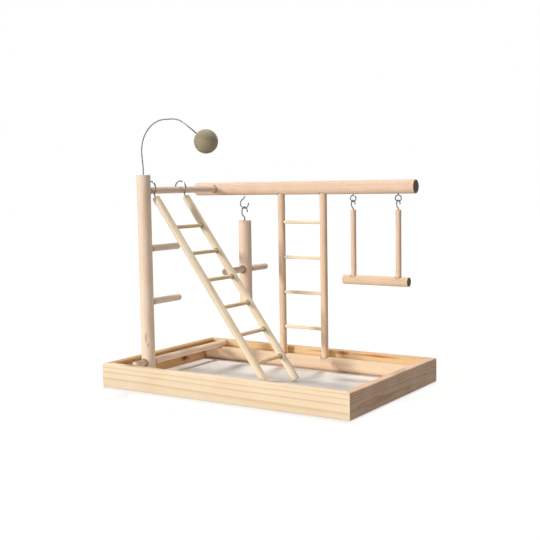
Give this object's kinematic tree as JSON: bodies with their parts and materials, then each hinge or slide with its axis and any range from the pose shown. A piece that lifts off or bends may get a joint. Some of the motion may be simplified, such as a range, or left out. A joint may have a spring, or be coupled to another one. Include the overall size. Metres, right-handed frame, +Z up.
{
  "type": "parrot play stand",
  "caption": "Wooden play stand for a small parrot: a tray with a dowel perch, climbing ladders, pegs, a swing, a hanging toy and a ball on a wire.",
  "frame": {"origin": "centre of the tray's underside", "axes": "+X to the right along the tray's length and the perch, +Y to the back, +Z up"},
  "size_m": [0.4035, 0.2942, 0.3791],
  "materials": {
    "pine": "sanded, unfinished",
    "dowel_wood": "sanded, unfinished",
    "turned_ball": "sanded, unfinished",
    "white_board": "white-faced board, satin",
    "plated_steel": "bright zinc plating"
  },
  "bodies": {
    "stand": {"base_dowel": "dowel_wood", "ladder_rail_left": "dowel_wood", "ladder_rail_right": "dowel_wood", "ladder_rung_1": "dowel_wood", "ladder_rung_2": "dowel_wood", "ladder_rung_3": "dowel_wood", "ladder_rung_4": "dowel_wood", "lower_link": "dowel_wood", "peg_lower": "dowel_wood", "peg_upper": "dowel_wood", "perch": "dowel_wood", "post": "dowel_wood", "swing_eye_left": "plated_steel", "swing_eye_right": "plated_steel", "toy_hook_upper": "plated_steel", "tray_panel": "white_board", "tray_rail_back": "pine", "tray_rail_front": "pine", "tray_rail_left": "pine", "tray_rail_right": "pine", "upper_link": "dowel_wood"},
    "slanting_ladder": {"slant_hook_back": "plated_steel", "slant_hook_front": "plated_steel", "slant_rail_back": "dowel_wood", "slant_rail_front": "dowel_wood", "slant_rung_1": "dowel_wood", "slant_rung_2": "dowel_wood", "slant_rung_3": "dowel_wood", "slant_rung_4": "dowel_wood", "slant_rung_5": "dowel_wood", "slant_rung_6": "dowel_wood"},
    "hanging_toy": {"toy_hook_lower": "plated_steel", "toy_log": "dowel_wood", "toy_cross_dowel": "dowel_wood"},
    "swing": {"swing_bar": "dowel_wood", "swing_hook_left": "plated_steel", "swing_hook_right": "plated_steel", "swing_rail_left": "dowel_wood", "swing_rail_right": "dowel_wood"},
    "ball_on_wire": {"ball": "turned_ball", "ball_wire": "plated_steel"}
  },
  "joints": [
    {"name": "slanting_ladder_lift", "type": "hinge", "parent": "stand", "child": "slanting_ladder", "pos_m": [-0.164, -0.023, 0.279], "axis": [0, -1, 0], "range_deg": [0, 70]},
    {"name": "toy_swing", "type": "hinge", "parent": "stand", "child": "hanging_toy", "pos_m": [-0.1115, 0.106, 0.24824], "axis": [1, 0, 0], "range_deg": [-22, 60]},
    {"name": "swing_swing", "type": "hinge", "parent": "stand", "child": "swing", "pos_m": [0.1168, 0.106, 0.2581], "axis": [1, 0, 0], "range_deg": [-60, 60]},
    {"name": "wire_turn", "type": "hinge", "parent": "stand", "child": "ball_on_wire", "pos_m": [-0.164, -0.072, 0.3015], "axis": [0, 0, 1], "continuous": true}
  ]
}
